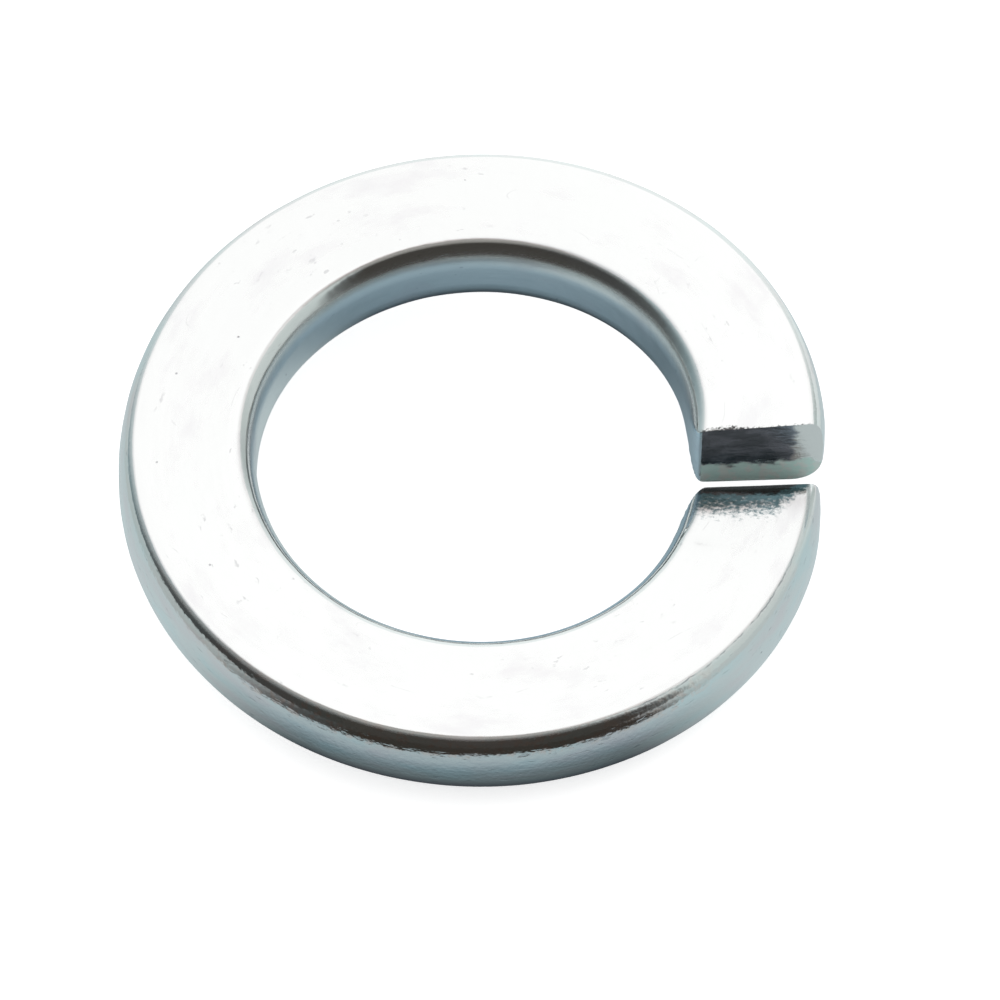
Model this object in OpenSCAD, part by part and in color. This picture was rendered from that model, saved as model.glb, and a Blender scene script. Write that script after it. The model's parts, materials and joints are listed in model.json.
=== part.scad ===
// Spring lock washer.
// One turn of spring wire with flat faces and rounded sides, wound to a left-hand helix
// for a right-hand screw, then sheared through so that its two ends stand apart.
// The axis of the ring is Z, the cut is on +X, and the lowest edge of the low end is at Z = 0.

/* [Ring] */
// Diameter of the hole
bore_d = 12.5; // [8:0.1:24]
// Height that the wire climbs in one full turn
pitch = 2.6; // [1.6:0.1:6]

/* [Wire] */
// Width of the wire, from the hole to the outer wall
wire_w = 4; // [3:0.1:7]
// Thickness of the wire, along the axis
wire_t = 2.5; // [1.6:0.1:5]

/* [Rounded sides] */
// Width of the rounding at the top outer edge
top_round_w = 0.55; // [0.2:0.05:1]
// Width of the rounding at the bottom outer edge
bottom_round_w = 0.95; // [0.2:0.05:1.2]
// Width of the roundings at the hole
inner_round_w = 0.6; // [0.2:0.05:1]
// Distance from the middle of the wire down to the widest line of its outer side
widest_drop = 0.35; // [0:0.05:0.6]
// Squareness of the rounded sides, where 2 is an ellipse
squareness = 2.2; // [2:0.1:4]
// How far the inner side would bulge into the hole before the hole is sized
inner_crown = 0.06; // [0.03:0.01:0.15]

/* [Cut] */
// Gap between the two ends at the middle of the wire
gap = 0.15; // [0.1:0.05:1.5]
// Angle of the cut off the radius
cut_skew = 8.4; // [0:0.2:16]
// Angle by which the gap widens towards the outside
cut_flare = 2.4; // [0:0.2:6]

/* [Low end, bent down by the shear] */
// Depth of the bent edge of the top face, at the cut
bend_h = 0.1; // [0.05:0.01:0.6]
// Length of the bent edge on the side of the hole
bend_l_inner = 1.1; // [0.3:0.05:2]
// Length of the bent edge on the outer side
bend_l_outer = 0.4; // [0.2:0.05:2]

/* [Sides squeezed beside the cut] */
// Depth of the flat on the hole side of the high end, at the cut
high_flat = 0.4; // [0.1:0.05:0.6]
// Depth of the flat on the hole side of the low end, at the bottom of the cut
low_flat = 0.15; // [0.1:0.05:0.6]
// Depth of the same flat at the top of the cut
low_flat_top = 0.65; // [0.1:0.05:0.9]
// How far the outer side draws in at the cut
outer_draw = 0.12; // [0:0.02:0.3]
// Length of the squeezed stretch of each end
squeeze_l = 2; // [1:0.1:3]
// Squareness of the top outer edge at the cut of the high end
high_squareness = 3.5; // [2:0.5:8]
// Squareness of the top outer edge at the cut of the low end
low_squareness = 5; // [2:0.5:8]
// How far the bottom outer corner of the high end stands out at the cut
high_toe = 0.2; // [0:0.02:0.3]

/* [Hidden] */

zinc = [0.74, 0.77, 0.79];
bore_r = bore_d / 2;
outer_r = bore_r + wire_w;
mid_r = bore_r + wire_w / 2;
half_t = wire_t / 2;
// Length of the wire along its middle line
wire_l = 2 * PI * mid_r - gap;

// How finely the turn, each squeezed end, the roundings and the round hole are divided
turn_steps = 84;
end_steps = 8;
round_steps = 5;
bore_facets = 180;

// The outer side is round from the top face to its widest line, and on to the bottom face
top_round_h = half_t + widest_drop;
bottom_round_h = half_t - widest_drop;

// Point of a quarter superellipse with half axes w and h about a centre, on the side that toward gives.
// The surface faces up or down there at a turn of 0, and sideways at 90.
function round_point(centre, w, h, toward, turn) =
    let (
        power = 1 / (squareness - 1),
        side = pow(w * sin(turn), power),
        top = pow(h * cos(turn), power),
        size = pow(pow(side, squareness) + pow(top, squareness), 1 / squareness)
    )
    centre + [toward.x * w * side, toward.y * h * top] / size;

// Points of one rounding at equal turns of its surface, without its last where the next one starts there
function rounding(centre, w, h, toward, from, to, steps = round_steps) =
    [for (i = [0 : steps]) round_point(centre, w, h, toward, from + (to - from) * i / round_steps)];

// Outline of the wire as [radius, height over its middle], clockwise from the top inner edge.
// The inner side runs a little into the hole, which the hole then trims to a true cylinder.
inner_centre = [bore_r + inner_round_w, 0];
inner_w = inner_round_w + inner_crown;
outline = concat(
    rounding([outer_r - top_round_w, -widest_drop], top_round_w, top_round_h, [1, 1], 0, 90, round_steps - 1),
    rounding([outer_r - bottom_round_w, -widest_drop], bottom_round_w, bottom_round_h, [1, -1], 90, 0),
    rounding(inner_centre, inner_w, half_t, [-1, -1], 0, 90, round_steps - 1),
    rounding(inner_centre, inner_w, half_t, [-1, 1], 90, 0)
);

// Direction at which the straight cut of one end meets a given radius.
// The cut crosses the middle of the wire at a sideways offset, and is turned off the radius there.
function cut_angle(radius, offset, skew) =
    skew + asin((offset * cos(skew) - mid_r * sin(skew)) / radius);
function high_end(radius) = cut_angle(radius, gap / 2, cut_skew + cut_flare / 2);
function low_end(radius) = 360 + cut_angle(radius, -gap / 2, cut_skew - cut_flare / 2);

// Height of the middle of the wire at an angle round the axis
function helix_z(angle) = -pitch * angle / 360;

// Share of its full depth that a mark beside the cut still has at a distance from the cut:
// a quarter ellipse, steep at the cut and flat where the mark ends
function fade(distance, length) =
    distance >= length ? 0 : 1 - sqrt(1 - pow(1 - distance / length, 2));

// How far across the wire a radius lies, from 0 at the hole to 1 at the outer wall
function across(radius) = (radius - bore_r) / wire_w;

// How far up the wire a height lies, from 0 at the bottom face to 1 at the top face
function up(height) = (height + half_t) / wire_t;

// Point of the top outer rounding at its distances from the two cuts: the shear leaves the edge squarer there
function squared(p, to_high, to_low) =
    let (
        out = (p.x - outer_r + top_round_w) / top_round_w,
        rise = (p.y + widest_drop) / top_round_h,
        power = squareness
            + (high_squareness - squareness) * fade(to_high, squeeze_l)
            + (low_squareness - squareness) * fade(to_low, squeeze_l)
    )
    out <= 0 || rise <= 0 ? p :
    let (size = pow(pow(out, power) + pow(rise, power), 1 / power))
    [outer_r - top_round_w, -widest_drop] + [top_round_w * out, top_round_h * rise] / size;

// Radius of a point of the outline at its distances from the two cuts: the outer side draws in,
// and the hole side is squeezed to a flat
function squeezed(p, to_high, to_low) =
    let (
        near = fade(min(to_high, to_low), squeeze_l),
        low_depth = low_flat + (low_flat_top - low_flat) * up(p.y),
        flat = high_flat * fade(to_high, squeeze_l) + low_depth * fade(to_low, squeeze_l) - inner_crown
    )
    max(p.x - outer_draw * near * across(p.x), bore_r + flat);

// How far the high end's cut face stands out into the gap
function toe(radius, height, to_high) =
    high_toe * across(radius) * (1 - up(height)) * fade(to_high, squeeze_l);

// How far the shear has bent a point of the low end down
function bend(radius, height, to_low) =
    let (length = bend_l_inner + (bend_l_outer - bend_l_inner) * across(radius))
    bend_h * fade(to_low, length) * up(height);

// Distances along the wire at which its outline is set, closer together towards each cut
end_stations = [for (i = [0 : end_steps]) squeeze_l * (1 - cos(90 * i / end_steps))];
body_l = wire_l - 2 * squeeze_l;
stations = concat(
    end_stations,
    [for (i = [1 : turn_steps - 1]) squeeze_l + body_l * i / turn_steps],
    [for (i = [end_steps : -1 : 0]) wire_l - end_stations[i]]
);

// Point of the wire for a point of the outline at a distance from the high end
function wire_point(p, distance) =
    let (
        to_low = wire_l - distance,
        edge = squared(p, distance, to_low),
        radius = squeezed(edge, distance, to_low),
        start = high_end(radius) - toe(radius, edge.y, distance) / radius * 180 / PI,
        angle = start + (low_end(radius) - start) * distance / wire_l
    )
    [radius * cos(angle), radius * sin(angle), helix_z(angle) + edge.y - bend(radius, edge.y, to_low)];

sides = len(outline);
rings = len(stations);
wire_points = [for (distance = stations) for (p = outline) wire_point(p, distance)];
lowest_z = min([for (p = wire_points) p.z]);

// Quads between neighbouring outlines, and one face over each end
wire_faces = concat(
    [[for (i = [0 : sides - 1]) i]],
    [for (ring = [0 : rings - 2]) for (i = [0 : sides - 1])
        let (next = (i + 1) % sides, base = ring * sides)
        [base + i, base + sides + i, base + sides + next, base + next]],
    [[for (i = [sides - 1 : -1 : 0]) (rings - 1) * sides + i]]
);

// The wound wire, before its hole is sized
module wound_wire() {
    translate([0, 0, -lowest_z])
        polyhedron(points = wire_points, faces = wire_faces, convexity = 6);
}

// The round hole, with its seam in the gap between the ends
module hole() {
    reach = pitch + wire_t;
    seam = (high_end(bore_r) + low_end(bore_r) - 360) / 2;
    rotate([0, 0, seam])
        translate([0, 0, -reach])
            cylinder(r = bore_r, h = 3 * reach, $fn = bore_facets);
}

module spring_washer() {
    color(zinc)
        difference() {
            wound_wire();
            hole();
        }
}

spring_washer();
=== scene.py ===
# %% [markdown]
# A spring lock washer is one turn of spring wire, wound to a helix and sheared through. It sits under a nut,
# and its two ends push apart. This lesson models the washer in Blender by a sheet, a spin and a few moves of
# its points, gives it a bright zinc finish, and sets it on a pale floor under soft light.
# The CAD part is the fixed frame: it is loaded first, and everything is placed by its box and its hole.

# %% Load the frame
import json
import math

import bpy
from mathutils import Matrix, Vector, noise


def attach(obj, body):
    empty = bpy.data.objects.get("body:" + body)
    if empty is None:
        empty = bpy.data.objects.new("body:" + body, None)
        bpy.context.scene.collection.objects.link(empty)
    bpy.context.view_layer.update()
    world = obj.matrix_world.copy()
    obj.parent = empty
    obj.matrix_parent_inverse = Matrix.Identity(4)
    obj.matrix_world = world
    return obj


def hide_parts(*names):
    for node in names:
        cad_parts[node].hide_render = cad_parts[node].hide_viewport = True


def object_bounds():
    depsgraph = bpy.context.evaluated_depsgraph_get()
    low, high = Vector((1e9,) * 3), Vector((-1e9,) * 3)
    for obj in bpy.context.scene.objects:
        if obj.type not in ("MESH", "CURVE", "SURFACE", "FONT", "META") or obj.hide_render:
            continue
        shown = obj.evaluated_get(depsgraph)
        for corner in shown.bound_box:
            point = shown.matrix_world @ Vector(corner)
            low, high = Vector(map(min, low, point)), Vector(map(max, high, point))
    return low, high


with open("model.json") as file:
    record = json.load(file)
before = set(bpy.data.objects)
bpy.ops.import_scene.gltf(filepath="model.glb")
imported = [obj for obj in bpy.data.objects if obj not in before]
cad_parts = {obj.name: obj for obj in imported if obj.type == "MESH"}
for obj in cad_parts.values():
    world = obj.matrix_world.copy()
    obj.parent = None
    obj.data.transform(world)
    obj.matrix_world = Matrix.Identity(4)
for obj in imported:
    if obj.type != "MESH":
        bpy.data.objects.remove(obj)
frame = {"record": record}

cad_low, cad_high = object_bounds()
MM = 0.001
bore_mount = next(m for m in frame["record"]["mounts"] if m["name"] == "bore")
print("CAD box in mm:", [round(x / MM, 3) for x in (*cad_low, *cad_high)])

# %% [markdown]
# The sizes are those of a washer for a 12 mm screw. The hole comes from the part's own mount, and the outer
# radius from its box. The rest are the wire's thickness and climb, the roundings of its sides and the marks
# that the shear has left on its ends.

# %% Sizes of the washer
BORE_R = bore_mount["dims"]["r_mm"] * MM
OUTER_R = (cad_high.y - cad_low.y) / 2
WIRE_T = 2.5 * MM
WIRE_W = OUTER_R - BORE_R
PITCH = 2.6 * MM
MID_R = (BORE_R + OUTER_R) / 2
HALF_T = WIRE_T / 2

# Widths of the roundings, the bulge that the hole cuts off, and how far below the middle the outer side is
# widest. At a squareness of 2 a rounding is an ellipse.
TOP_ROUND_W = 0.55 * MM
BOTTOM_ROUND_W = 0.95 * MM
INNER_ROUND_W = 0.6 * MM
INNER_CROWN = 0.06 * MM
WIDEST_DROP = 0.35 * MM
SQUARENESS = 2.2

# Gap at the middle of the wire, angle of the cut off the radius, and angle by which it widens outwards
GAP = 0.15 * MM
CUT_SKEW = math.radians(8.4)
CUT_FLARE = math.radians(2.4)

# Depth of the low end's bent edge, and its length at the hole and at the outer wall
BEND_H = 0.1 * MM
BEND_L_INNER = 1.1 * MM
BEND_L_OUTER = 0.4 * MM

# Depths of the flats beside the hole: at the high end, and at the bottom and the top of the low end
HIGH_FLAT = 0.4 * MM
LOW_FLAT = 0.15 * MM
LOW_FLAT_TOP = 0.65 * MM

# Squareness of the top outer edge at each cut, the high end's standing corner, how far the outer side draws
# in, and the length over which all this fades out
HIGH_SQUARENESS = 3.5
LOW_SQUARENESS = 5
HIGH_TOE = 0.2 * MM
OUTER_DRAW = 0.12 * MM
SQUEEZE_L = 2.0 * MM

# Length of the wire along its middle line
WIRE_L = 2 * math.pi * MID_R - GAP

# %% [markdown]
# The camera comes next, because it decides how finely each side has to be made. The photograph was taken
# from high above with a long lens, so the ring hardly narrows towards the back. The aim is a little off the
# middle of the ring, as in the photograph.

# %% Camera
CAM_AZIMUTH = math.radians(4.45)
CAM_ELEVATION = math.radians(55.4)
CAM_DISTANCE = 181.1 * MM
CAM_LENS = 224.8
CAM_RIGHT = 0.823 * MM
CAM_DOWN = 1.09 * MM
ring_centre = Vector((0, 0, (cad_low.z + cad_high.z) / 2))

towards_camera = Vector((
    math.sin(CAM_AZIMUTH) * math.cos(CAM_ELEVATION),
    -math.cos(CAM_AZIMUTH) * math.cos(CAM_ELEVATION),
    math.sin(CAM_ELEVATION),
))
camera_right = Vector((math.cos(CAM_AZIMUTH), math.sin(CAM_AZIMUTH), 0))
camera_up = towards_camera.cross(camera_right)
bpy.ops.object.camera_add()
camera = bpy.context.object
camera.name = "photo_camera"
camera.location = (
    ring_centre
    + towards_camera * CAM_DISTANCE
    + camera_right * CAM_RIGHT
    - camera_up * CAM_DOWN
)
camera.rotation_euler = towards_camera.to_track_quat("Z", "Y").to_euler()
camera.data.lens = CAM_LENS
camera.data.sensor_width = 36
camera.data.clip_start = 1 * MM
camera.data.clip_end = 10
bpy.context.scene.camera = camera
print("camera at", [round(x, 4) for x in camera.location])

# %% [markdown]
# The wire's section has flat faces and sides that are rounded by the drawing die: a small rounding at the top
# outer edge, a large one at the bottom outer edge, and a round inner side that the hole then cuts to size.
# Each rounding is a quarter of a superellipse. Its points are set at equal turns of the surface, and not at
# equal distances, because a bright metal shows every step in the direction of its surface.

# %% The outline of the wire
ROUND_STEPS = 7
FACE_STEPS = 12


def rounding(centre_r, centre_z, half_w, half_h, out, upward, turns):
    """Points of a quarter superellipse, where a turn of 0 faces up or down and 90 faces sideways."""
    points = []
    power = 1 / (SQUARENESS - 1)
    for turn in turns:
        side = (half_w * math.sin(math.radians(turn))) ** power
        top = (half_h * max(math.cos(math.radians(turn)), 0)) ** power
        size = (side**SQUARENESS + top**SQUARENESS) ** (1 / SQUARENESS)
        points.append((centre_r + out * half_w * side / size, centre_z + upward * half_h * top / size))
    return points


def spread(start, end, steps):
    """Evenly spaced values from the start to the end."""
    return [start + (end - start) * i / steps for i in range(steps + 1)]


CORNER_TURN = 45
to_corner = spread(0, CORNER_TURN, ROUND_STEPS)
from_corner = spread(CORNER_TURN, 90, ROUND_STEPS)
outer_top = (OUTER_R - TOP_ROUND_W, -WIDEST_DROP, TOP_ROUND_W, HALF_T + WIDEST_DROP, 1, 1)
outer_bottom = (OUTER_R - BOTTOM_ROUND_W, -WIDEST_DROP, BOTTOM_ROUND_W, HALF_T - WIDEST_DROP, 1, -1)
inner_top = (BORE_R + INNER_ROUND_W, 0, INNER_ROUND_W + INNER_CROWN, HALF_T, -1, 1)
inner_bottom = (BORE_R + INNER_ROUND_W, 0, INNER_ROUND_W + INNER_CROWN, HALF_T, -1, -1)


def face_edge(inner, outer):
    """One face of the wire from its inner corner to its outer one, with its flat stretch between them."""
    inner_part = rounding(*inner, to_corner)[::-1]
    outer_part = rounding(*outer, to_corner)
    start, end = inner_part[-1], outer_part[0]
    flat = [(start[0] + (end[0] - start[0]) * i / FACE_STEPS, start[1]) for i in range(1, FACE_STEPS)]
    return inner_part + flat + outer_part


def side_edge(bottom, top):
    """One side of the wire from its bottom corner to its top one, past its widest line."""
    return rounding(*bottom, from_corner) + rounding(*top, from_corner)[::-1][1:]


top_edge = face_edge(inner_top, outer_top)
bottom_edge = face_edge(inner_bottom, outer_bottom)
inner_edge = side_edge(inner_bottom, inner_top)
outer_edge = side_edge(outer_bottom, outer_top)
ACROSS_STEPS = len(top_edge) - 1
UP_STEPS = len(inner_edge) - 1
print("outline of", 2 * (ACROSS_STEPS + UP_STEPS), "points")

# %% [markdown]
# The section starts as a plain grid, and its points are moved so that the rim of the grid lies on the outline
# and the inside is spread evenly between. A grid gives both sheared ends a fine, regular mesh from the start,
# which one big face over the end would not.

# %% A sheet with the shape of the section
bpy.ops.object.select_all(action="DESELECT")
bpy.ops.mesh.primitive_grid_add(x_subdivisions=ACROSS_STEPS, y_subdivisions=UP_STEPS, size=1)
washer = bpy.context.object
washer.name = "spring_washer_body"


def blend_edges(column, row):
    """Point inside the section, from the four edges of its rim."""
    across = column / ACROSS_STEPS
    up = row / UP_STEPS
    point = []
    for axis in (0, 1):
        between_faces = (1 - up) * bottom_edge[column][axis] + up * top_edge[column][axis]
        between_sides = (1 - across) * inner_edge[row][axis] + across * outer_edge[row][axis]
        low_corners = (1 - across) * bottom_edge[0][axis] + across * bottom_edge[-1][axis]
        high_corners = (1 - across) * top_edge[0][axis] + across * top_edge[-1][axis]
        point.append(between_faces + between_sides - (1 - up) * low_corners - up * high_corners)
    return point


for vertex in washer.data.vertices:
    column = round((vertex.co.x + 0.5) * ACROSS_STEPS)
    row = round((vertex.co.y + 0.5) * UP_STEPS)
    radius, height = blend_edges(column, row)
    vertex.co = (radius, 0, height)

# %% [markdown]
# Spin carries the sheet round the axis and leaves its side walls behind it. A first sheet stays at the start
# and the last one closes the end, so the result is a closed bar. With no window a positive angle turns
# clockwise, so the angle is negative. The bar stops short of a full turn, so that each point still tells by
# its direction how far along the wire it belongs.

# %% Spin the sheet round the axis
TURN_STEPS = 420
SPIN_ANGLE = math.radians(350)
bpy.ops.object.mode_set(mode="EDIT")
bpy.ops.mesh.select_all(action="SELECT")
bpy.ops.mesh.spin(steps=TURN_STEPS, dupli=False, angle=-SPIN_ANGLE, center=(0, 0, 0), axis=(0, 0, 1))
bpy.ops.mesh.select_all(action="SELECT")
bpy.ops.mesh.normals_make_consistent(inside=False)
bpy.ops.mesh.select_all(action="DESELECT")
bpy.ops.object.mode_set(mode="OBJECT")
print("spun to", len(washer.data.vertices), "points")

# %% [markdown]
# Winding turns the bar into the washer. Each point keeps its place in the section and gets its distance along
# the wire, then falls with the helix. The cut is a straight line a few degrees off the radius, so a point's
# direction depends on its radius too. Beside the cut the shear has squeezed the side of the hole to a flat,
# drawn the outer side in, squared the top outer edge and bent the edge of the low end down. On the high end
# the bottom outer corner stands out into the gap.

# %% How a point is wound
# How strongly the rings gather at the two cuts, where 0 spaces them evenly
END_DENSITY = 0.85


def cut_angle(radius, offset, skew):
    """Direction at which the straight cut of one end meets a radius."""
    return skew + math.asin((offset * math.cos(skew) - MID_R * math.sin(skew)) / radius)


def high_end(radius):
    """Direction of the high end's cut at a radius."""
    return cut_angle(radius, GAP / 2, CUT_SKEW + CUT_FLARE / 2)


def low_end(radius):
    """Direction of the low end's cut at a radius, one turn on."""
    return 2 * math.pi + cut_angle(radius, -GAP / 2, CUT_SKEW - CUT_FLARE / 2)


def fade(distance, length):
    """Share that a mark beside the cut still has at a distance from it."""
    if distance >= length:
        return 0
    return 1 - math.sqrt(1 - (1 - distance / length) ** 2)


def along_wire(turned):
    """Distance from the high end for a share of the spin, with the rings closer together at both cuts."""
    return WIRE_L * (turned - END_DENSITY * math.sin(2 * math.pi * turned) / (2 * math.pi))


def squeezed(radius, height, to_high, to_low):
    """Radius beside the cuts, where the outer side draws in and the side of the hole is pressed flat."""
    near = fade(min(to_high, to_low), SQUEEZE_L)
    low_flat = LOW_FLAT + (LOW_FLAT_TOP - LOW_FLAT) * (height + HALF_T) / WIRE_T
    flat = HIGH_FLAT * fade(to_high, SQUEEZE_L) + low_flat * fade(to_low, SQUEEZE_L)
    drawn = radius - OUTER_DRAW * near * (radius - BORE_R) / WIRE_W
    return max(drawn, BORE_R + flat)


def squared(radius, height, to_high, to_low):
    """Point of the top outer rounding, which the shear has left nearly square beside the cuts."""
    out = (radius - (OUTER_R - TOP_ROUND_W)) / TOP_ROUND_W
    rise = (height + WIDEST_DROP) / (HALF_T + WIDEST_DROP)
    if out <= 0 or rise <= 0:
        return radius, height
    power = SQUARENESS
    power += (HIGH_SQUARENESS - SQUARENESS) * fade(to_high, SQUEEZE_L)
    power += (LOW_SQUARENESS - SQUARENESS) * fade(to_low, SQUEEZE_L)
    before = (out**SQUARENESS + rise**SQUARENESS) ** (1 / SQUARENESS)
    after = (out**power + rise**power) ** (1 / power)
    grow = before / after
    return (
        OUTER_R - TOP_ROUND_W + TOP_ROUND_W * out * grow,
        -WIDEST_DROP + (HALF_T + WIDEST_DROP) * rise * grow,
    )


def bend(radius, height, to_low):
    """How far the shear has bent a point of the low end down."""
    length = BEND_L_INNER + (BEND_L_OUTER - BEND_L_INNER) * (radius - BORE_R) / WIRE_W
    return BEND_H * fade(to_low, length) * (height + HALF_T) / WIRE_T


def wind(radius, height, distance):
    """Place of a point of the section at a distance along the wire, before the ring is set on the floor."""
    to_low = WIRE_L - distance
    radius, height = squared(radius, height, distance, to_low)
    radius = squeezed(radius, height, distance, to_low)
    toe = HIGH_TOE * fade(distance, SQUEEZE_L) * (radius - BORE_R) / WIRE_W * (HALF_T - height) / WIRE_T
    start, end = high_end(radius) - toe / radius, low_end(radius)
    angle = start + (end - start) * distance / WIRE_L
    z = height - PITCH * angle / (2 * math.pi) - bend(radius, height, to_low)
    return Vector((radius * math.cos(angle), radius * math.sin(angle), z))


# %% Wind every point
# Rounding can put a point of the first sheet just short of a full turn, which is past the end of the spin
PAST_END = 1.01
places = []
for vertex in washer.data.vertices:
    x, y, height = vertex.co
    turned = (math.atan2(y, x) % (2 * math.pi)) / SPIN_ANGLE
    if turned > PAST_END:
        turned = 0
    distance = along_wire(min(turned, 1))
    places.append((math.hypot(x, y), height, distance))
    vertex.co = wind(*places[-1])
lowest = min(vertex.co.z for vertex in washer.data.vertices)
for vertex in washer.data.vertices:
    vertex.co.z += cad_low.z - lowest
print("wound, height in mm:", round(max(v.co.z for v in washer.data.vertices) / MM, 3))

# %% [markdown]
# The finish follows the wire and not the axes of the room: scuffs run along it, and its ends look different
# from its faces. So each point keeps its place in the wire as an attribute in millimetres, which is its
# distance from the high end, its radius and its height in the section. The faces of the two cuts are marked
# as well.

# %% Attributes for the material
wire_place = washer.data.attributes.new("wire_place", "FLOAT_VECTOR", "POINT")
for index, (radius, height, distance) in enumerate(places):
    wire_place.data[index].vector = (distance / MM, radius / MM, height / MM)
CUT_TOLERANCE = 1e-3 * MM
at_cut = [min(distance, WIRE_L - distance) < CUT_TOLERANCE for (radius, height, distance) in places]
cut_face = washer.data.attributes.new("cut_face", "FLOAT", "FACE")
for polygon in washer.data.polygons:
    if all(at_cut[i] for i in polygon.vertices):
        cut_face.data[polygon.index].value = 1
print("faces on the cut ends:", sum(1 for mark in cut_face.data if mark.value))

# %% [markdown]
# Drawn steel is never quite true. A soft noise moves each point by a few microns along its normal, which
# makes the edges of the reflections wander as they do on the real washer.

# %% Slight unevenness
UNEVEN_SCALE = 1.3 * MM
UNEVEN_DEPTH = 0.006 * MM
normals = [vertex.normal.copy() for vertex in washer.data.vertices]
for vertex, normal in zip(washer.data.vertices, normals):
    vertex.co += normal * UNEVEN_DEPTH * noise.noise(vertex.co / UNEVEN_SCALE)

# %% Smooth shading, with the rims of the cuts left sharp
bpy.ops.object.select_all(action="DESELECT")
washer.select_set(True)
bpy.context.view_layer.objects.active = washer
SMOOTH_ANGLE = math.radians(50)
bpy.ops.object.shade_smooth_by_angle(angle=SMOOTH_ANGLE)

# %% [markdown]
# The materials are built from small pieces, so a few helpers come first. Each adds nodes to a tree, sets what
# it is given as a number and links what it is given as a socket.

# %% Helpers for node trees
def add(tree, kind, inputs=None, **settings):
    """New node of a tree, with its settings and its inputs."""
    node = tree.nodes.new("ShaderNode" + kind)
    for name, value in settings.items():
        setattr(node, name, value)
    for name, value in (inputs or {}).items():
        if isinstance(value, bpy.types.NodeSocket):
            tree.links.new(value, node.inputs[name])
        else:
            node.inputs[name].default_value = value
    return node


def calc(tree, operation, *values):
    """Result of one sum on numbers or sockets."""
    return add(tree, "Math", dict(enumerate(values)), operation=operation).outputs[0]


def total(tree, *values):
    """Sum of several numbers or sockets."""
    result = values[0]
    for value in values[1:]:
        result = calc(tree, "ADD", result, value)
    return result


def difference(tree, first, second):
    """First number or socket less the second."""
    return calc(tree, "SUBTRACT", first, second)


def times(tree, first, second):
    """Product of two numbers or sockets."""
    return calc(tree, "MULTIPLY", first, second)


def weighted(tree, terms):
    """Sum of terms, each of which is a socket and its weight."""
    return total(tree, *(times(tree, socket, weight) for socket, weight in terms))


def between(tree, share, first, second):
    """Number that goes from the first to the second as the share goes from 0 to 1."""
    return total(tree, first, times(tree, difference(tree, second, first), share))


def distance_from(tree, value, middle):
    """How far a value is from a middle, either way."""
    return calc(tree, "ABSOLUTE", difference(tree, value, middle))


def step(tree, value, start, end):
    """Soft step from 0 to 1 as the value goes from the start to the end."""
    inputs = {"Value": value, "From Min": start, "From Max": end}
    return add(tree, "MapRange", inputs, interpolation_type="SMOOTHSTEP").outputs[0]


def blend(tree, factor, first, second):
    """Colour between two others."""
    inputs = {"Factor": factor, "A": first, "B": second}
    return add(tree, "Mix", inputs, data_type="RGBA").outputs["Result"]


def stretch(tree, vector, *scale):
    """Vector with each of its axes scaled, so that a texture on it is drawn out the other way."""
    return add(tree, "VectorMath", {0: vector, 1: scale}, operation="MULTIPLY").outputs[0]


def grain(tree, vector, scale, detail=2.0, rough=0.5):
    """Soft noise between 0 and 1."""
    inputs = {"Vector": vector, "Scale": scale, "Detail": detail, "Roughness": rough}
    return add(tree, "TexNoise", inputs).outputs["Fac"]


def ramp(tree, value, stops):
    """Colour that changes along a value, from stops of a place and a colour."""
    node = add(tree, "ValToRGB", {"Fac": value})
    marks = node.color_ramp.elements
    while len(marks) < len(stops):
        marks.new(0.5)
    for mark, (place, colour) in zip(marks, stops):
        mark.position = place
        mark.color = (*colour, 1)
    return node.outputs["Color"]


def split(tree, vector):
    """The three parts of a vector, by the names X, Y and Z."""
    return add(tree, "SeparateXYZ", {0: vector}).outputs


def new_group(name, inputs, outputs):
    """Empty node group with sockets of the given kinds, and its input and output nodes."""
    tree = bpy.data.node_groups.new(name, "ShaderNodeTree")
    for way, sockets in (("INPUT", inputs), ("OUTPUT", outputs)):
        for socket, kind in sockets.items():
            tree.interface.new_socket(socket, in_out=way, socket_type="NodeSocket" + kind)
    return tree, tree.nodes.new("NodeGroupInput"), tree.nodes.new("NodeGroupOutput")


def link_outputs(tree, result, values):
    """Link the values to the outputs of a group."""
    for name, value in values.items():
        tree.links.new(value, result.inputs[name])


def use_group(tree, group, inputs=None):
    """Node that uses a group in another tree."""
    node = tree.nodes.new("ShaderNodeGroup")
    node.node_tree = group
    for name, value in (inputs or {}).items():
        tree.links.new(value, node.inputs[name])
    return node


# %% [markdown]
# Drawn and plated wire has a faint relief. The drawing die leaves long shallow streaks, the plating a softer
# orange peel over them, and handling adds thin scratches and small pits. In the node groups all places and
# depths are in millimetres, like the attribute that they read.

# %% Values of the plated wire
STREAK_DEPTH = 0.006
PEEL_DEPTH = 0.008
SCRATCH_DEPTH = 0.002
FINE_DEPTH = 0.006
PIT_DEPTH = 0.005
MARK_DEPTH = 0.001
NICK_DEPTH = 0.003

ZINC_BRIGHT = (0.80, 0.83, 0.82, 1)
ZINC_CLOUDED = (0.76, 0.775, 0.78, 1)
ZINC_ROSE = (0.82, 0.79, 0.79, 1)
ZINC_TEAL = (0.75, 0.84, 0.84, 1)
ZINC_WARM = (0.84, 0.76, 0.72, 1)
# Colour of wear, also used for the painted dark line at the top face's edge
ZINC_WORN_AND_PAINTED_LINE = (0.30, 0.31, 0.33, 1)

# How far each kind of wear, and the painted dark line at the top face's edge, takes the worn colour
MARK_WEAR = 0.12
PIT_WEAR = 0.7
NICK_WEAR = 0.28
PAINTED_LINE_STRENGTH = 0.7
FLECK_WEAR = 0.34

WIRE_ROUGHNESS = 0.06
CLOUD_ROUGHNESS = 0.06
SCRATCH_ROUGHNESS = 0.08
INNER_ROUGHNESS = 0.24
FACE_SCATTER = 0.25
CLOUD_SCATTER = 0.3 * FACE_SCATTER

# Share of the cells of the net that have a pit, and the distances where a pit fades out and is full
PIT_SHARE = 0.28
PIT_EDGE = (0.055, 0.02)
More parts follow.
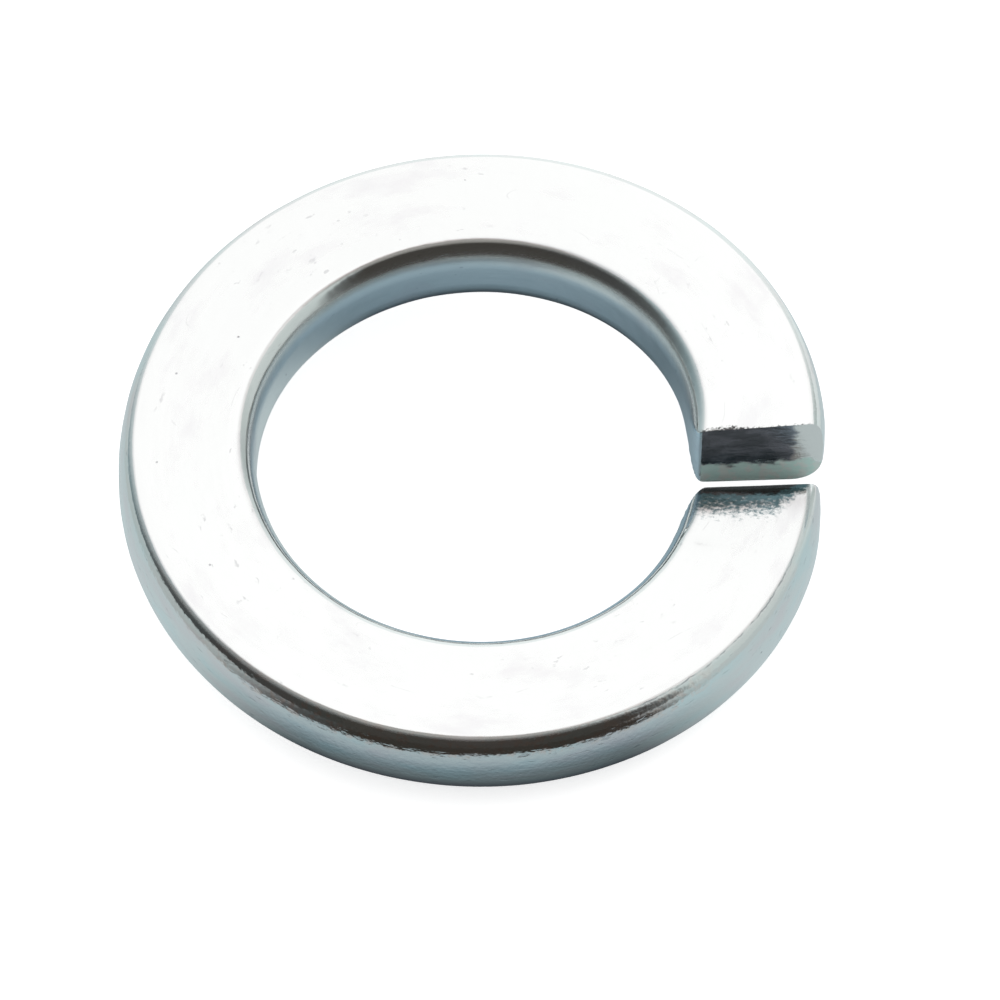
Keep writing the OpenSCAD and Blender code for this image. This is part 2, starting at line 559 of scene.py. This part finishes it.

# The painted dark line along the top face's outer edge, standing in for the sharp edge of the dark band's
# reflection: its radius, how far it wanders, and the distances from it where it fades out and is full
PAINTED_LINE_R = OUTER_R - 0.43 * MM
PAINTED_LINE_WANDER = 0.12
PAINTED_LINE_EDGE = (0.028, 0.01)

# Stretches of the wire with the painted dark line and with the warm specks, and the share of each that is
# full
PAINTED_LINE_MIDDLE = 0.895 * WIRE_L
PAINTED_LINE_HALF_L = 3.6 * MM
PAINTED_LINE_FULL = 0.7
WARM_SPECKS_MIDDLE = 0.75 * WIRE_L
WARM_SPECKS_HALF_L = 8 * MM
WARM_SPECKS_FULL = 0.5

# Sides, faces and shoulder of the wire, by the radius or the height where each starts and where it is full
OUTER_SIDE = ((OUTER_R - TOP_ROUND_W) / MM, (OUTER_R - 0.5 * TOP_ROUND_W) / MM)
INNER_SIDE = ((BORE_R + 0.6 * INNER_ROUND_W) / MM, BORE_R / MM)
FLAT_FACE = (0.93 * HALF_T / MM, 0.99 * HALF_T / MM)
SHOULDER = (0.6, 0.75)

# Stretches of the noises. A small first number draws a pattern out along the wire.
STREAK_STRETCH = (0.12, 2.4, 2.4)
SCRATCH_STRETCH = (0.6, 14, 14)
MARK_STRETCH = (0.25, 0.9, 0.9)
FLECK_STRETCH = (0.5, 1, 1)
NICK_STRETCH = (2.2, 5, 8)
CLOUD_STRETCH = (0.35, 0.8, 0.8)
SHIMMER_STRETCH = (0.5, 1.2, 1.2)

SURFACE_OUTPUTS = {"Height": "Float", "Tint": "Color", "Roughness": "Float", "Scatter": "Float"}


# %% Marks of the plated wire
def pit_marks(tree, place):
    """Pits are the middles of some cells of a loose net."""
    net = add(tree, "TexVoronoi", {"Vector": place, "Scale": 1.1, "Randomness": 1.0})
    chosen = add(tree, "SeparateColor", {"Color": net.outputs["Color"]})
    is_pit = calc(tree, "GREATER_THAN", chosen.outputs["Red"], 1 - PIT_SHARE)
    return times(tree, step(tree, net.outputs["Distance"], *PIT_EDGE), is_pit)


def thin_marks(tree, place):
    """Marks are thin level lines of a drawn out noise, kept only in patches."""
    lines = grain(tree, stretch(tree, place, *MARK_STRETCH), 1.1, detail=1.0)
    on_line = step(tree, distance_from(tree, lines, 0.5), 0.005, 0.002)
    patches = step(tree, grain(tree, place, 1.2, detail=3.0), 0.58, 0.64)
    return times(tree, on_line, patches)


def fleck_marks(tree, place):
    """Flecks are fine specks in loose clusters."""
    clusters = step(tree, grain(tree, place, 0.45), 0.48, 0.62)
    specks = step(tree, grain(tree, stretch(tree, place, *FLECK_STRETCH), 5.0), 0.66, 0.74)
    return times(tree, specks, clusters)


def nick_marks(tree, place, outer_side):
    """Nicks are short dull strokes along the outer wall."""
    strokes = grain(tree, stretch(tree, place, *NICK_STRETCH), 1.0, detail=3.0)
    return times(tree, step(tree, strokes, 0.62, 0.74), outer_side)


def within_stretch(tree, along, middle, half_length, full_share):
    """Mask over a stretch of the wire, full over the given share of it and faded out at its ends."""
    from_middle = distance_from(tree, along, middle / MM)
    return step(tree, from_middle, half_length / MM, full_share * half_length / MM)


def painted_edge_line(tree, place, parts):
    """Thin ragged painted dark line along the top outer edge before the low end, a painted edge of the dark
    band's reflection.
    """
    wander = times(tree, difference(tree, grain(tree, place, 4.0, detail=3.0), 0.5), PAINTED_LINE_WANDER)
    from_line = distance_from(tree, total(tree, parts["Y"], wander), PAINTED_LINE_R / MM)
    top_half = calc(tree, "GREATER_THAN", parts["Z"], 0.0)
    on_line = times(tree, step(tree, from_line, *PAINTED_LINE_EDGE), top_half)
    broken = step(tree, grain(tree, place, 2.5, detail=4.0), 0.36, 0.6)
    within = within_stretch(tree, parts["X"], PAINTED_LINE_MIDDLE, PAINTED_LINE_HALF_L, PAINTED_LINE_FULL)
    return times(tree, times(tree, on_line, broken), within)


def warm_specks(tree, place, parts, outer_side):
    """Warm specks on the shoulder of the wire in front."""
    shoulder = times(tree, outer_side, step(tree, parts["Z"], *SHOULDER))
    within = within_stretch(tree, parts["X"], WARM_SPECKS_MIDDLE, WARM_SPECKS_HALF_L, WARM_SPECKS_FULL)
    specks = step(tree, grain(tree, place, 5.0), 0.5, 0.62)
    return times(tree, specks, times(tree, shoulder, within))


# %% Plated wire
def plated_wire():
    """Group with the look of the wire's faces and sides."""
    tree, source, result = new_group("plated_wire", {"Place": "Vector"}, SURFACE_OUTPUTS)
    place = source.outputs["Place"]
    parts = split(tree, place)
    outer_side = step(tree, parts["Y"], *OUTER_SIDE)
    inner_side = step(tree, parts["Y"], *INNER_SIDE)

    scratches = grain(tree, stretch(tree, place, *SCRATCH_STRETCH), 1.0, detail=3.0, rough=0.7)
    pits = pit_marks(tree, place)
    marks = thin_marks(tree, place)
    nicks = nick_marks(tree, place, outer_side)
    height = weighted(tree, [
        (grain(tree, stretch(tree, place, *STREAK_STRETCH), 1.0), STREAK_DEPTH),
        (grain(tree, place, 1.6, detail=1.0), PEEL_DEPTH),
        (scratches, SCRATCH_DEPTH),
        (times(tree, grain(tree, place, 8.0, detail=1.0), outer_side), FINE_DEPTH),
        (pits, -PIT_DEPTH),
        (marks, -MARK_DEPTH),
        (nicks, -NICK_DEPTH),
    ])

    # The plating is clouded in places, and shimmers rose and teal on the outer wall
    cloudy = grain(tree, stretch(tree, place, *CLOUD_STRETCH), 1.0, detail=5.0, rough=0.65)
    clouds = step(tree, cloudy, 0.5, 0.72)
    tint = blend(tree, clouds, ZINC_BRIGHT, ZINC_CLOUDED)
    shimmer = grain(tree, stretch(tree, place, *SHIMMER_STRETCH), 1.1, detail=3.0)
    tint = blend(tree, times(tree, step(tree, shimmer, 0.50, 0.66), outer_side), tint, ZINC_ROSE)
    tint = blend(tree, times(tree, step(tree, shimmer, 0.50, 0.34), outer_side), tint, ZINC_TEAL)
    # Wear marks, and the painted dark line at the top face's edge, take the worn colour
    wear_and_painted_line = [
        (marks, MARK_WEAR),
        (pits, PIT_WEAR),
        (nicks, NICK_WEAR),
        (painted_edge_line(tree, place, parts), PAINTED_LINE_STRENGTH),
        (fleck_marks(tree, place), FLECK_WEAR),
    ]
    for mask, strength in wear_and_painted_line:
        tint = blend(tree, times(tree, mask, strength), tint, ZINC_WORN_AND_PAINTED_LINE)
    tint = blend(tree, warm_specks(tree, place, parts, outer_side), tint, ZINC_WARM)

    roughness = weighted(tree, [
        (clouds, CLOUD_ROUGHNESS),
        (scratches, SCRATCH_ROUGHNESS),
        (inner_side, INNER_ROUGHNESS),
    ])
    # The rolled flat faces scatter some light, the drawn round sides none
    on_face = step(tree, calc(tree, "ABSOLUTE", parts["Z"]), *FLAT_FACE)
    matt = total(tree, times(tree, clouds, CLOUD_SCATTER), FACE_SCATTER)
    link_outputs(tree, result, {
        "Height": height,
        "Tint": tint,
        "Roughness": total(tree, roughness, WIRE_ROUGHNESS),
        "Scatter": times(tree, matt, on_face),
    })
    return tree


# %% [markdown]
# The shear has left each cut in three zones, as sheared steel always shows: a torn middle, a burnished strip
# at the bottom where the blade rubbed, and a paler outer side. The torn middle is dark partly as torn steel
# and partly as painted shade, which stands in for the dark front that it reflects. The relief of the torn
# zone is drawn out across the face.

# %% Values of the sheared faces
TORN_DEPTH = 0.018

# Height of the burnished strip's top, the radius where the outer side starts, and how soft and how ragged
# both of these lines are
BURNISH_TOP = -0.38
BURNISH_SOFT = 0.12
BURNISH_RAGGED = 0.9
SHEAR_OUTER_START = (OUTER_R - 1.0 * MM) / MM
SHEAR_OUTER_SOFT = 0.3
SHEAR_OUTER_RAGGED = 0.8

SHEAR_ROUGHNESS = 0.19
BURNISH_ROUGHNESS = 0.45
BURNISH_SCATTER = 0.14

# Torn middle: dark partly as torn steel and partly as painted shade for the dark front that it reflects
SHEAR_TORN = (0.19, 0.21, 0.24, 1)
SHEAR_TORN_LIGHT = (0.30, 0.32, 0.37, 1)
SHEAR_OUTER = (0.78, 0.77, 0.75, 1)
SHEAR_BURNISHED = (0.80, 1.0, 0.95, 1)
SHEAR_STAINED = (0.89, 0.98, 0.94, 1)


# %% Sheared faces
def sheared_face():
    """Group with the look of the two cut faces."""
    tree, source, result = new_group("sheared_face", {"Place": "Vector"}, SURFACE_OUTPUTS)
    place = source.outputs["Place"]
    parts = split(tree, place)
    torn = grain(tree, stretch(tree, place, 1, 1.6, 5), 1.4, detail=4.0, rough=0.6)

    # A ragged line divides the zones
    ragged = difference(tree, grain(tree, stretch(tree, place, 1, 1.2, 2), 1.5, detail=5.0), 0.5)
    level = total(tree, parts["Z"], times(tree, ragged, BURNISH_RAGGED))
    burnished = step(tree, level, BURNISH_TOP + BURNISH_SOFT, BURNISH_TOP - BURNISH_SOFT)
    outwards = total(tree, parts["Y"], times(tree, ragged, SHEAR_OUTER_RAGGED))
    outer = step(tree, outwards, SHEAR_OUTER_START, SHEAR_OUTER_START + SHEAR_OUTER_SOFT)

    patchy = step(tree, grain(tree, stretch(tree, place, 1, 1, 2), 1.3, detail=3.0), 0.42, 0.62)
    stains = step(tree, grain(tree, place, 2.5, detail=3.0), 0.45, 0.6)
    tint = blend(tree, patchy, SHEAR_TORN, SHEAR_TORN_LIGHT)
    tint = blend(tree, outer, tint, SHEAR_OUTER)
    tint = blend(tree, burnished, tint, blend(tree, stains, SHEAR_BURNISHED, SHEAR_STAINED))
    link_outputs(tree, result, {
        "Height": times(tree, torn, TORN_DEPTH),
        "Tint": tint,
        "Roughness": total(tree, times(tree, burnished, BURNISH_ROUGHNESS), SHEAR_ROUGHNESS),
        "Scatter": times(tree, burnished, BURNISH_SCATTER),
    })
    return tree


# %% [markdown]
# Beside its cut the low end's top face has been hammered by the blade. It rises a little towards the cut,
# with a coarse sparkling relief that fades out along the wire and is widest on the side of the hole. The
# rise, or lip, turns the reflection upwards, so that it passes over the dark cut of the high end. Nearest the
# cut the dark reflection of that cut is painted into the colour, as a dark edge and as the dark ground
# between the sparkling flecks.

# %% Values of the hammered end
# Lip: its length at the hole and at the outer wall, its level last stretch, and how fast its slope grows
LIP_L_INNER = 2.6
LIP_L_OUTER = 2.2
LIP_END = 0.25
LIP_CURVE = 0.17

# Hammered zone: its relief, its lengths across the face, and the share of the way across where it falls off
HAMMER_DEPTH = 0.006
HAMMER_L_INNER = 1.25
HAMMER_L_MIDDLE = 1.0
HAMMER_L_OUTER = 0.1
HAMMER_TURN = 0.75
HAMMER_EDGE = (1.0, 0.5)

# Sparkle: bright flecks on a dark ground, which is a painted reflection of the high end's dark cut. The
# noise is compared with a level, which is given at the cut and rises along the zone, and the ground fades in
# over the given distances of the noise from that level.
SPARKLE_STRETCH = (1, 0.7, 1)
SPARKLE_COVER = 0.08
SPARKLE_FALL = 0.5
SPARKLE_EDGE = (-0.18, 0.14)

# Painted reflection of the high end's dark cut along the low end's edge, and burr of the high end: length,
# raggedness, softness and reach across the face
PAINTED_CUT_REFLECTION_L = 0.45
PAINTED_CUT_REFLECTION_RAGGED = 0.45
PAINTED_CUT_REFLECTION_SOFT = 0.15
PAINTED_CUT_REFLECTION_ACROSS = (1.05, 0.7)
BURR_L = 0.12
BURR_RAGGED = 0.5
BURR_SOFT = 0.1
BURR_ACROSS = (0.48, 0.25)
# A fine dark rim runs along the whole edge of the high end
RIM_L = 0.04

# Colour of the painted reflection of the high end's dark cut on the low end's edge, also used for the burr
SHEAR_PAINTED_REFLECTION_AND_BURR = (0.06, 0.06, 0.06, 1)
SPARKLE_PAINTED_REFLECTION = (0.10, 0.18, 0.20, 1)


# %% Hammered top of the low end
def zone_length(tree, across):
    """Length of the hammered zone, longest at the hole and short at the outer edge."""
    steady = {"Value": across, "From Max": HAMMER_TURN, "To Min": HAMMER_L_INNER, "To Max": HAMMER_L_MIDDLE}
    fall = {
        "Value": across,
        "From Min": HAMMER_TURN,
        "To Min": 0.0,
        "To Max": HAMMER_L_MIDDLE - HAMMER_L_OUTER,
    }
    return difference(
        tree,
        add(tree, "MapRange", steady).outputs[0],
        add(tree, "MapRange", fall).outputs[0],
    )


def raised_lip(tree, across, to_low):
    """Height of the lip, which gets steeper towards the cut and is level over its last stretch."""
    length = total(tree, times(tree, across, LIP_L_OUTER - LIP_L_INNER), LIP_L_INNER)
    into_lip = difference(tree, length, calc(tree, "MAXIMUM", to_low, LIP_END))
    risen = calc(tree, "MAXIMUM", into_lip, 0.0)
    return times(tree, calc(tree, "POWER", risen, 2.0), 0.5 * LIP_CURVE)


def dark_edges(tree, place, across, to_high, to_low):
    """Mask of the low end's dark edge, a painted reflection of the high end's dark cut, and of the thin burr
    on the hole's half of the high end's edge.
    """
    ragged = times(tree, difference(tree, grain(tree, place, 6.0, detail=3.0), 0.5), PAINTED_CUT_REFLECTION_RAGGED)
    painted_cut_reflection_l = times(tree, step(tree, across, *PAINTED_CUT_REFLECTION_ACROSS), PAINTED_CUT_REFLECTION_L)
    low_edge = step(tree, difference(tree, total(tree, to_low, ragged), painted_cut_reflection_l), 0.0, -PAINTED_CUT_REFLECTION_SOFT)
    rough_edge = times(tree, difference(tree, grain(tree, place, 14.0, detail=3.0), 0.5), BURR_RAGGED)
    burr_l = times(tree, step(tree, across, *BURR_ACROSS), BURR_L)
    past_burr = difference(tree, total(tree, to_high, rough_edge), burr_l)
    high_edge = step(tree, past_burr, RIM_L, -BURR_SOFT)
    return calc(tree, "MAXIMUM", low_edge, high_edge)


def hammered_end():
    """Group with what the shear adds to the top face beside both cuts, and with the painted reflection of the
    high end's dark cut on the low end.
    """
    outputs = {"Height": "Float", "Dark": "Float", "Sparkle": "Float"}
    tree, source, result = new_group("hammered_end", {"Place": "Vector"}, outputs)
    place = source.outputs["Place"]
    parts = split(tree, place)
    to_low = difference(tree, WIRE_L / MM, parts["X"])
    on_top = step(tree, parts["Z"], *FLAT_FACE)
    across = step(tree, parts["Y"], BORE_R / MM, OUTER_R / MM)

    # Distance from the cut as a share of the length of the hammered zone
    share = calc(tree, "DIVIDE", to_low, zone_length(tree, across))
    hammered = times(tree, step(tree, share, *HAMMER_EDGE), on_top)
    blows = grain(tree, place, 7.0, detail=1.5)
    grains = grain(tree, stretch(tree, place, *SPARKLE_STRETCH), 9.0, detail=4.0, rough=0.7)
    cover = total(tree, times(tree, share, SPARKLE_FALL), SPARKLE_COVER)
    sparkle = step(tree, difference(tree, grains, cover), *SPARKLE_EDGE)
    lip = times(tree, raised_lip(tree, across, to_low), on_top)
    link_outputs(tree, result, {
        "Height": total(tree, lip, times(tree, times(tree, blows, hammered), HAMMER_DEPTH)),
        "Dark": times(tree, dark_edges(tree, place, across, parts["X"], to_low), on_top),
        "Sparkle": times(tree, sparkle, on_top),
    })
    return tree


# %% [markdown]
# One material joins the three. The marked faces take the sheared look and all others the plated one, and both
# share a single bump. The light that a face scatters is taken from its metal share.

# %% Bright zinc
def bright_zinc():
    """Material of the whole washer."""
    material = bpy.data.materials.new("bright_zinc")
    material.use_nodes = True
    tree = material.node_tree
    shader = tree.nodes["Principled BSDF"]
    place = add(tree, "Attribute", attribute_name="wire_place").outputs["Vector"]
    is_cut = add(tree, "Attribute", attribute_name="cut_face").outputs["Fac"]
    wire = use_group(tree, plated_wire(), {"Place": place}).outputs
    cut = use_group(tree, sheared_face(), {"Place": place}).outputs
    end = use_group(tree, hammered_end(), {"Place": place}).outputs
    # The dark ground between the sparkling flecks is a painted reflection of the high end's dark cut
    wire_tint = blend(tree, end["Sparkle"], wire["Tint"], SPARKLE_PAINTED_REFLECTION)
    # The low end's dark edge is a painted reflection of the high end's dark cut; the burr takes the same
    # colour
    wire_tint = blend(tree, end["Dark"], wire_tint, SHEAR_PAINTED_REFLECTION_AND_BURR)
    wire_height = total(tree, wire["Height"], end["Height"])
    height = between(tree, is_cut, wire_height, cut["Height"])
    scatter = between(tree, is_cut, wire["Scatter"], cut["Scatter"])
    bump = add(tree, "Bump", {"Strength": 1.0, "Distance": MM, "Height": height})
    inputs = {
        "Base Color": blend(tree, is_cut, wire_tint, cut["Tint"]),
        "Metallic": difference(tree, 1.0, scatter),
        "Roughness": between(tree, is_cut, wire["Roughness"], cut["Roughness"]),
        "Normal": bump.outputs["Normal"],
    }
    for name, value in inputs.items():
        tree.links.new(value, shader.inputs[name])
    return material


washer.data.materials.clear()
washer.data.materials.append(bright_zinc())
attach(washer, "root")
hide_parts("spring_washer")

# %% [markdown]
# Metal shows what is round it, so the room matters more than the lamps. All round the washer the room is
# bright at the back and on the right, dim on the left and dark at the front, where the camera stands. The
# metal sees it as a ring of colours. A direction goes in, and the ramp starts at the left and runs round by
# the front.

# %% The room as the metal sees it
def turn_round(tree, direction):
    """Turn of a direction round the axis, as a share from 0 at the left over 0.25 at the front to 1."""
    return add(tree, "TexGradient", {"Vector": direction}, gradient_type="RADIAL").outputs["Fac"]


ROOM_RING = [
    (0.00, (0.10, 0.11, 0.11)),
    (0.06, (0.055, 0.055, 0.055)),
    (0.16, (0.05, 0.045, 0.04)),
    (0.39, (0.05, 0.045, 0.04)),
    (0.42, (0.16, 0.17, 0.17)),
    (0.445, (0.62, 0.67, 0.66)),
    (0.56, (0.66, 0.70, 0.69)),
    (0.62, (0.48, 0.53, 0.52)),
    (0.69, (0.92, 0.97, 0.97)),
    (0.75, (1.00, 1.05, 1.05)),
    (0.81, (0.92, 0.97, 0.97)),
    (0.89, (0.44, 0.52, 0.54)),
    (0.94, (0.24, 0.31, 0.33)),
    (1.00, (0.10, 0.11, 0.11)),
]

# %% [markdown]
# The floor is a pale sheet with the washer's soft shadow on it, and what the camera sees of it is lifted to
# near white. The metal sees it differently, as it does in the photograph: as a glowing painted reflection,
# blue-grey with a painted shadow where the wire stands close, and past a few millimetres painted as dark or
# as bright as the room in that direction.

# %% Values of the floor
FLOOR_SIZE = 4
FLOOR_WHITE = 0.8
FLOOR_LIFT = 0.58
# Painted light on the floor as the metal sees it, at the sides and at the back
SIDE_FLOOR = (0.56, 0.64, 0.66, 1)
BACK_FLOOR = (0.84, 0.88, 0.88, 1)
# Factors that darken the floor in the hole, a painted shade
HOLE_FLOOR = (0.76, 0.88, 0.97)
# Share of the light from the right that reaches the floor in the hole
RIGHT_IN_HOLE = 0.45
# Distances from the wire in millimetres, over which the near floor goes over into the far one
ROOM_START = (5.8, 6.6)
# How far back, left or right a place must lie round the axis for the light to start and to be full there
BACK_LIT = (0.2, 0.8)
LEFT_LIT = (-0.4, -0.9)
RIGHT_LIT = (0.5, 0.9)

# Colours of the near floor, a painted shadow that is darkest at the wire, by the distance from the wire, as a
# share of the given length in millimetres
NEAR_FLOOR_L = 8.0
NEAR_FLOOR = [
    (0.00, (0.06, 0.07, 0.08)),
    (0.12, (0.12, 0.15, 0.16)),
    (0.21, (0.20, 0.26, 0.29)),
    (0.32, (0.33, 0.40, 0.44)),
    (0.48, (0.42, 0.50, 0.53)),
]
# Colours of the far floor all round, from the left by the front, painted as dark or as bright as the room
FAR_FLOOR = [
    (0.00, (0.50, 0.55, 0.55)),
    (0.05, (0.48, 0.52, 0.52)),
    (0.10, (0.40, 0.43, 0.43)),
    (0.15, (0.10, 0.10, 0.10)),
    (0.19, (0.04, 0.035, 0.03)),
    (0.37, (0.04, 0.035, 0.03)),
    (0.40, (0.46, 0.49, 0.49)),
    (0.42, (0.54, 0.58, 0.58)),
    (0.50, (0.58, 0.63, 0.63)),
    (0.60, (0.80, 0.85, 0.85)),
    (0.75, (1.00, 1.05, 1.05)),
    (0.90, (0.60, 0.66, 0.67)),
    (1.00, (0.50, 0.55, 0.55)),
]


# %% Floor
def mirrored_floor(tree):
    """Colour of the floor as the metal sees it: a painted reflection, with a painted shadow near the wire and
    painted light where light reaches in at the sides and the back.
    """
    place = add(tree, "NewGeometry").outputs["Position"]
    flat_place = stretch(tree, place, 1, 1, 0)
    radius = add(tree, "VectorMath", {0: flat_place}, operation="LENGTH").outputs["Value"]
    outside = calc(tree, "GREATER_THAN", radius, MID_R)
    in_hole = difference(tree, 1.0, outside)

    # Distance from the wire in millimetres, both outwards and into the hole
    off_middle = distance_from(tree, radius, MID_R)
    from_wire = calc(tree, "DIVIDE", difference(tree, off_middle, WIRE_W / 2), MM)
    # Painted shadow, darker where the wire stands close
    near = ramp(tree, calc(tree, "DIVIDE", from_wire, NEAR_FLOOR_L), NEAR_FLOOR)
    far = ramp(tree, turn_round(tree, place), FAR_FLOOR)

    # At the sides the light reaches in under the wire, but less so at the right side of the hole
    parts = split(tree, place)
    backwards = calc(tree, "DIVIDE", parts["Y"], radius)
    behind = times(tree, step(tree, backwards, *BACK_LIT), outside)
    near = blend(tree, behind, near, BACK_FLOOR)
    sideways = calc(tree, "DIVIDE", parts["X"], radius)
    left = step(tree, sideways, *LEFT_LIT)
    right_reach = total(tree, times(tree, outside, 1 - RIGHT_IN_HOLE), RIGHT_IN_HOLE)
    right = times(tree, step(tree, sideways, *RIGHT_LIT), right_reach)
    near = blend(tree, calc(tree, "MAXIMUM", left, right), near, SIDE_FLOOR)
    # Painted shade on the floor in the hole, away from its left side
    dimmed = times(tree, in_hole, difference(tree, 1.0, left))
    near = blend(tree, dimmed, near, stretch(tree, near, *HOLE_FLOOR))
    past = times(tree, step(tree, from_wire, *ROOM_START), outside)
    return blend(tree, past, near, far)


def pale_floor():
    """Material of the floor, one for the camera and one for the metal, which sees a glowing painted
    reflection.
    """
    material = bpy.data.materials.new("pale_floor")
    material.use_nodes = True
    tree = material.node_tree
    tree.nodes.clear()
    rays = add(tree, "LightPath").outputs
    sheet = add(tree, "BsdfDiffuse", {"Color": (FLOOR_WHITE, FLOOR_WHITE, FLOOR_WHITE, 1)})
    lift = add(tree, "Emission", {"Strength": times(tree, rays["Is Camera Ray"], FLOOR_LIFT)})
    seen = add(tree, "AddShader", {0: sheet.outputs[0], 1: lift.outputs[0]})
    # The metal sees the floor as a glowing painted reflection, with painted shadow and light
    mirrored = add(tree, "Emission", {"Color": mirrored_floor(tree), "Strength": 1.0})
    inputs = {0: rays["Is Glossy Ray"], 1: seen.outputs[0], 2: mirrored.outputs[0]}
    whole = add(tree, "MixShader", inputs)
    add(tree, "OutputMaterial", {"Surface": whole.outputs[0]})
    return material


bpy.ops.object.select_all(action="DESELECT")
bpy.ops.mesh.primitive_plane_add(size=FLOOR_SIZE, location=(0, 0, cad_low.z))
floor = bpy.context.object
floor.name = "floor"
floor.data.materials.append(pale_floor())

# %% [markdown]
# The flat top face mirrors what is above and behind the washer: the bright back of the room, and a big
# softbox in front of it that takes the face up to white. The rest of the light comes from the room. Camera
# and floor see a plain white room, and only the metal sees the ring of colours, with a dim ceiling over its
# front.

# %% Softbox
# At this strength a mirror would show the softbox, which is tinted to even out the blue of the room
SOFTBOX_STRENGTH = 0.32
SOFTBOX_COLOUR = (1.0, 0.72, 0.74)
SOFTBOX_TOWARDS = Vector((0, 0.50, 0.87))
SOFTBOX_DISTANCE = 0.6
SOFTBOX_WIDTH = 0.68
SOFTBOX_DEPTH = 0.56

bpy.ops.object.light_add(type="AREA")
softbox = bpy.context.object
softbox.name = "top_softbox"
softbox.data.shape = "RECTANGLE"
softbox.data.size = SOFTBOX_WIDTH
softbox.data.size_y = SOFTBOX_DEPTH
softbox.data.energy = SOFTBOX_STRENGTH * math.pi * SOFTBOX_WIDTH * SOFTBOX_DEPTH
softbox.data.color = SOFTBOX_COLOUR
softbox.location = ring_centre + SOFTBOX_TOWARDS.normalized() * SOFTBOX_DISTANCE
softbox.rotation_euler = SOFTBOX_TOWARDS.to_track_quat("Z", "Y").to_euler()

# %% Room
ROOM_WHITE = (1, 1, 1, 1)
CEILING = (0.22, 0.20, 0.18, 1)
# How far up, and how far to the front, a direction must point for the ceiling to start and to be full there
CEILING_UP = (0.86, 0.99)
CEILING_FRONT = (0.26, 0.06)

studio = bpy.data.worlds.new("studio")
bpy.context.scene.world = studio
studio.use_nodes = True
sky = studio.node_tree
sky.nodes.clear()
direction = add(sky, "TexCoord").outputs["Generated"]
sky_parts = split(sky, direction)
high_up = step(sky, sky_parts["Z"], *CEILING_UP)
to_the_front = step(sky, sky_parts["Y"], *CEILING_FRONT)
around = ramp(sky, turn_round(sky, direction), ROOM_RING)
mirrored_room = blend(sky, times(sky, high_up, to_the_front), around, CEILING)
shown = blend(sky, add(sky, "LightPath").outputs["Is Glossy Ray"], ROOM_WHITE, mirrored_room)
background = add(sky, "Background", {"Color": shown, "Strength": 1.0})
add(sky, "OutputWorld", {"Surface": background.outputs[0]})

bpy.context.scene.view_settings.view_transform = "Standard"
